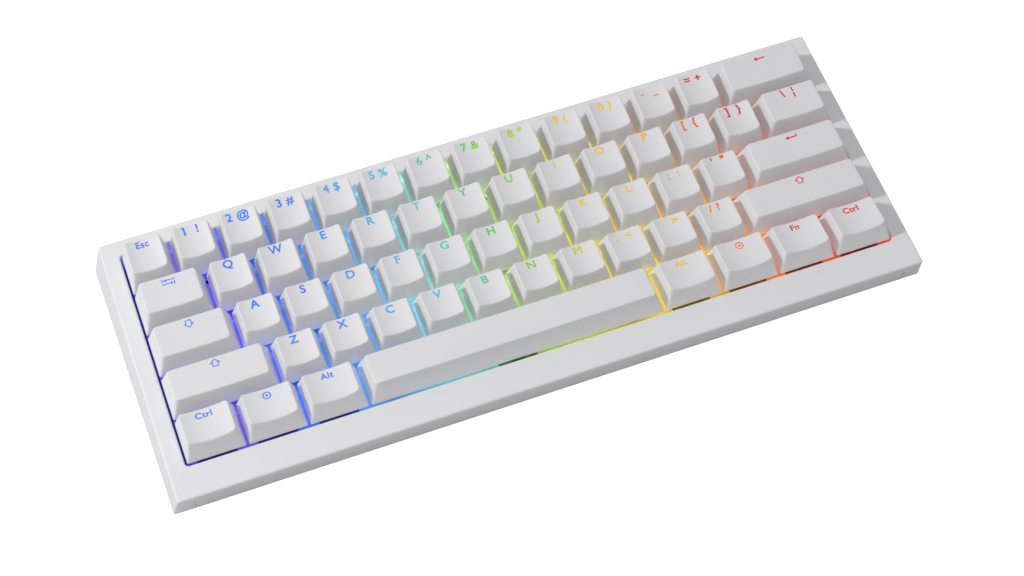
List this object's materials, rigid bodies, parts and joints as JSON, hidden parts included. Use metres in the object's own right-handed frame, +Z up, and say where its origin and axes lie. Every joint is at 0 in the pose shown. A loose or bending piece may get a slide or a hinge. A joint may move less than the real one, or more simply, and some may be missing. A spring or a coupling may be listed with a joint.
{
  "type": "mechanical keyboard",
  "caption": "Compact white mechanical keyboard: two-piece wedge case, sculpted keycaps on sprung switches, rainbow backlight between the caps.",
  "frame": {"origin": "middle of the keyboard's outline, on the desk under the rubber feet", "axes": "+X to the right along the rows, +Y towards the back, +Z up; the keys travel along the normal of the key field, 4 degrees off vertical"},
  "size_m": [0.308, 0.1228, 0.0399],
  "materials": {
    "white_case": "fine moulded texture",
    "white_cap": "fine grained keycap plastic",
    "white_plate": "powder coat",
    "board": "solder mask",
    "chip": "moulded epoxy",
    "steel": "nickel plated",
    "spring_steel": "drawn wire",
    "contact_metal": "stamped",
    "lamp": "clear resin over white",
    "black_plastic": "moulded",
    "grey_rubber": "matt"
  },
  "bodies": {
    "case": {"top_case": "white_case", "bottom_case": "white_case", "rubber_feet": "grey_rubber", "switch_plate": "white_plate", "circuit_board": "board", "controller_chip": "chip", "usb_socket": "steel", "board_screws": "steel", "backlight_lamps": "lamp", "switch_lower_housings": "black_plastic", "switch_upper_housings": "black_plastic", "switch_springs": "spring_steel", "switch_contacts": "contact_metal", "stabiliser_housings": "black_plastic"},
    "space_key": {"space_key": "white_cap"},
    "enter_key": {"enter_key": "white_cap"},
    "backspace_key": {"backspace_key": "white_cap"},
    "left_shift_key": {"left_shift_key": "white_cap"},
    "right_shift_key": {"right_shift_key": "white_cap"},
    "escape_key": {"escape_key": "white_cap"},
    "tab_key": {"tab_key": "white_cap"},
    "caps_lock_key": {"caps_lock_key": "white_cap"},
    "backslash_key": {"backslash_key": "white_cap"},
    "function_key": {"function_key": "white_cap"},
    "control_keys": {"control_keys": "white_cap"},
    "system_keys": {"system_keys": "white_cap"},
    "alt_keys": {"alt_keys": "white_cap"},
    "number_row_keys": {"number_row_keys": "white_cap"},
    "punctuation_keys": {"punctuation_keys": "white_cap"},
    "f_key": {"f_key": "white_cap"},
    "j_key": {"j_key": "white_cap"},
    "q_key": {"q_key": "white_cap"},
    "w_key": {"w_key": "white_cap"},
    "e_key": {"e_key": "white_cap"},
    "r_key": {"r_key": "white_cap"},
    "t_key": {"t_key": "white_cap"},
    "y_key": {"y_key": "white_cap"},
    "u_key": {"u_key": "white_cap"},
    "i_key": {"i_key": "white_cap"},
    "o_key": {"o_key": "white_cap"},
    "p_key": {"p_key": "white_cap"},
    "a_key": {"a_key": "white_cap"},
    "s_key": {"s_key": "white_cap"},
    "d_key": {"d_key": "white_cap"},
    "g_key": {"g_key": "white_cap"},
    "h_key": {"h_key": "white_cap"},
    "k_key": {"k_key": "white_cap"},
    "l_key": {"l_key": "white_cap"},
    "z_key": {"z_key": "white_cap"},
    "x_key": {"x_key": "white_cap"},
    "c_key": {"c_key": "white_cap"},
    "v_key": {"v_key": "white_cap"},
    "b_key": {"b_key": "white_cap"},
    "n_key": {"n_key": "white_cap"},
    "m_key": {"m_key": "white_cap"},
    "backspace_wire": {"backspace_wire": "steel"},
    "enter_wire": {"enter_wire": "steel"},
    "left_shift_wire": {"left_shift_wire": "steel"},
    "right_shift_wire": {"right_shift_wire": "steel"},
    "space_wire": {"space_wire": "steel"}
  },
  "joints": [
    {"name": "press_space", "type": "slide", "parent": "case", "child": "space_key", "axis": [0, 0.0698, -0.9976], "range_m": [0, 0.004], "stiffness_N_per_m": 75, "springref_m": -0.004, "deforming": ["switch_springs"]},
    {"name": "turn_space_wire", "type": "hinge", "parent": "case", "child": "space_wire", "pos_m": [-0.01191, -0.0291, 0.01661], "axis": [1, 0, 0], "range_deg": [0, 25.73]},
    {"name": "press_enter", "type": "slide", "parent": "case", "child": "enter_key", "axis": [0, 0.0698, -0.9976], "range_m": [0, 0.004], "stiffness_N_per_m": 75, "springref_m": -0.004},
    {"name": "turn_enter_wire", "type": "hinge", "parent": "case", "child": "enter_wire", "pos_m": [0.12144, -0.00905, 0.01801], "axis": [-1, 0, 0], "range_deg": [0, 25.73]},
    {"name": "press_backspace", "type": "slide", "parent": "case", "child": "backspace_key", "axis": [0, 0.0698, -0.9976], "range_m": [0, 0.004], "stiffness_N_per_m": 75, "springref_m": -0.004},
    {"name": "turn_backspace_wire", "type": "hinge", "parent": "case", "child": "backspace_wire", "pos_m": [0.12383, 0.02896, 0.02067], "axis": [-1, 0, 0], "range_deg": [0, 25.73]},
    {"name": "press_left_shift", "type": "slide", "parent": "case", "child": "left_shift_key", "axis": [0, 0.0698, -0.9976], "range_m": [0, 0.004], "stiffness_N_per_m": 75, "springref_m": -0.004},
    {"name": "turn_left_shift_wire", "type": "hinge", "parent": "case", "child": "left_shift_wire", "pos_m": [-0.12144, -0.02805, 0.01669], "axis": [-1, 0, 0], "range_deg": [0, 25.73]},
    {"name": "press_right_shift", "type": "slide", "parent": "case", "child": "right_shift_key", "axis": [0, 0.0698, -0.9976], "range_m": [0, 0.004], "stiffness_N_per_m": 75, "springref_m": -0.004},
    {"name": "turn_right_shift_wire", "type": "hinge", "parent": "case", "child": "right_shift_wire", "pos_m": [0.11668, -0.02805, 0.01669], "axis": [-1, 0, 0], "range_deg": [0, 25.73]},
    {"name": "press_escape", "type": "slide", "parent": "case", "child": "escape_key", "axis": [0, 0.0698, -0.9976], "range_m": [0, 0.004], "stiffness_N_per_m": 75, "springref_m": -0.004},
    {"name": "press_tab", "type": "slide", "parent": "case", "child": "tab_key", "axis": [0, 0.0698, -0.9976], "range_m": [0, 0.004], "stiffness_N_per_m": 75, "springref_m": -0.004},
    {"name": "press_caps_lock", "type": "slide", "parent": "case", "child": "caps_lock_key", "axis": [0, 0.0698, -0.9976], "range_m": [0, 0.004], "stiffness_N_per_m": 75, "springref_m": -0.004},
    {"name": "press_backslash", "type": "slide", "parent": "case", "child": "backslash_key", "axis": [0, 0.0698, -0.9976], "range_m": [0, 0.004], "stiffness_N_per_m": 75, "springref_m": -0.004},
    {"name": "press_function", "type": "slide", "parent": "case", "child": "function_key", "axis": [0, 0.0698, -0.9976], "range_m": [0, 0.004], "stiffness_N_per_m": 75, "springref_m": -0.004},
    {"name": "press_control", "type": "slide", "parent": "case", "child": "control_keys", "axis": [0, 0.0698, -0.9976], "range_m": [0, 0.004], "stiffness_N_per_m": 150, "springref_m": -0.004},
    {"name": "press_system", "type": "slide", "parent": "case", "child": "system_keys", "axis": [0, 0.0698, -0.9976], "range_m": [0, 0.004], "stiffness_N_per_m": 150, "springref_m": -0.004},
    {"name": "press_alt", "type": "slide", "parent": "case", "child": "alt_keys", "axis": [0, 0.0698, -0.9976], "range_m": [0, 0.004], "stiffness_N_per_m": 150, "springref_m": -0.004},
    {"name": "press_number_row", "type": "slide", "parent": "case", "child": "number_row_keys", "axis": [0, 0.0698, -0.9976], "range_m": [0, 0.004], "stiffness_N_per_m": 900, "springref_m": -0.004},
    {"name": "press_punctuation", "type": "slide", "parent": "case", "child": "punctuation_keys", "axis": [0, 0.0698, -0.9976], "range_m": [0, 0.004], "stiffness_N_per_m": 525, "springref_m": -0.004},
    {"name": "press_f", "type": "slide", "parent": "case", "child": "f_key", "axis": [0, 0.0698, -0.9976], "range_m": [0, 0.004], "stiffness_N_per_m": 75, "springref_m": -0.004},
    {"name": "press_j", "type": "slide", "parent": "case", "child": "j_key", "axis": [0, 0.0698, -0.9976], "range_m": [0, 0.004], "stiffness_N_per_m": 75, "springref_m": -0.004},
    {"name": "press_q", "type": "slide", "parent": "case", "child": "q_key", "axis": [0, 0.0698, -0.9976], "range_m": [0, 0.004], "stiffness_N_per_m": 75, "springref_m": -0.004},
    {"name": "press_w", "type": "slide", "parent": "case", "child": "w_key", "axis": [0, 0.0698, -0.9976], "range_m": [0, 0.004], "stiffness_N_per_m": 75, "springref_m": -0.004},
    {"name": "press_e", "type": "slide", "parent": "case", "child": "e_key", "axis": [0, 0.0698, -0.9976], "range_m": [0, 0.004], "stiffness_N_per_m": 75, "springref_m": -0.004},
    {"name": "press_r", "type": "slide", "parent": "case", "child": "r_key", "axis": [0, 0.0698, -0.9976], "range_m": [0, 0.004], "stiffness_N_per_m": 75, "springref_m": -0.004},
    {"name": "press_t", "type": "slide", "parent": "case", "child": "t_key", "axis": [0, 0.0698, -0.9976], "range_m": [0, 0.004], "stiffness_N_per_m": 75, "springref_m": -0.004},
    {"name": "press_y", "type": "slide", "parent": "case", "child": "y_key", "axis": [0, 0.0698, -0.9976], "range_m": [0, 0.004], "stiffness_N_per_m": 75, "springref_m": -0.004},
    {"name": "press_u", "type": "slide", "parent": "case", "child": "u_key", "axis": [0, 0.0698, -0.9976], "range_m": [0, 0.004], "stiffness_N_per_m": 75, "springref_m": -0.004},
    {"name": "press_i", "type": "slide", "parent": "case", "child": "i_key", "axis": [0, 0.0698, -0.9976], "range_m": [0, 0.004], "stiffness_N_per_m": 75, "springref_m": -0.004},
    {"name": "press_o", "type": "slide", "parent": "case", "child": "o_key", "axis": [0, 0.0698, -0.9976], "range_m": [0, 0.004], "stiffness_N_per_m": 75, "springref_m": -0.004},
    {"name": "press_p", "type": "slide", "parent": "case", "child": "p_key", "axis": [0, 0.0698, -0.9976], "range_m": [0, 0.004], "stiffness_N_per_m": 75, "springref_m": -0.004},
    {"name": "press_a", "type": "slide", "parent": "case", "child": "a_key", "axis": [0, 0.0698, -0.9976], "range_m": [0, 0.004], "stiffness_N_per_m": 75, "springref_m": -0.004},
    {"name": "press_s", "type": "slide", "parent": "case", "child": "s_key", "axis": [0, 0.0698, -0.9976], "range_m": [0, 0.004], "stiffness_N_per_m": 75, "springref_m": -0.004},
    {"name": "press_d", "type": "slide", "parent": "case", "child": "d_key", "axis": [0, 0.0698, -0.9976], "range_m": [0, 0.004], "stiffness_N_per_m": 75, "springref_m": -0.004},
    {"name": "press_g", "type": "slide", "parent": "case", "child": "g_key", "axis": [0, 0.0698, -0.9976], "range_m": [0, 0.004], "stiffness_N_per_m": 75, "springref_m": -0.004},
    {"name": "press_h", "type": "slide", "parent": "case", "child": "h_key", "axis": [0, 0.0698, -0.9976], "range_m": [0, 0.004], "stiffness_N_per_m": 75, "springref_m": -0.004},
    {"name": "press_k", "type": "slide", "parent": "case", "child": "k_key", "axis": [0, 0.0698, -0.9976], "range_m": [0, 0.004], "stiffness_N_per_m": 75, "springref_m": -0.004},
    {"name": "press_l", "type": "slide", "parent": "case", "child": "l_key", "axis": [0, 0.0698, -0.9976], "range_m": [0, 0.004], "stiffness_N_per_m": 75, "springref_m": -0.004},
    {"name": "press_z", "type": "slide", "parent": "case", "child": "z_key", "axis": [0, 0.0698, -0.9976], "range_m": [0, 0.004], "stiffness_N_per_m": 75, "springref_m": -0.004},
    {"name": "press_x", "type": "slide", "parent": "case", "child": "x_key", "axis": [0, 0.0698, -0.9976], "range_m": [0, 0.004], "stiffness_N_per_m": 75, "springref_m": -0.004},
    {"name": "press_c", "type": "slide", "parent": "case", "child": "c_key", "axis": [0, 0.0698, -0.9976], "range_m": [0, 0.004], "stiffness_N_per_m": 75, "springref_m": -0.004},
    {"name": "press_v", "type": "slide", "parent": "case", "child": "v_key", "axis": [0, 0.0698, -0.9976], "range_m": [0, 0.004], "stiffness_N_per_m": 75, "springref_m": -0.004},
    {"name": "press_b", "type": "slide", "parent": "case", "child": "b_key", "axis": [0, 0.0698, -0.9976], "range_m": [0, 0.004], "stiffness_N_per_m": 75, "springref_m": -0.004},
    {"name": "press_n", "type": "slide", "parent": "case", "child": "n_key", "axis": [0, 0.0698, -0.9976], "range_m": [0, 0.004], "stiffness_N_per_m": 75, "springref_m": -0.004},
    {"name": "press_m", "type": "slide", "parent": "case", "child": "m_key", "axis": [0, 0.0698, -0.9976], "range_m": [0, 0.004], "stiffness_N_per_m": 75, "springref_m": -0.004}
  ],
  "couplings": [
    {"joint": "turn_space_wire", "follows": "press_space", "rad_per_m": 112.05},
    {"joint": "turn_enter_wire", "follows": "press_enter", "rad_per_m": 112.05},
    {"joint": "turn_backspace_wire", "follows": "press_backspace", "rad_per_m": 112.05},
    {"joint": "turn_left_shift_wire", "follows": "press_left_shift", "rad_per_m": 112.05},
    {"joint": "turn_right_shift_wire", "follows": "press_right_shift", "rad_per_m": 112.05}
  ]
}
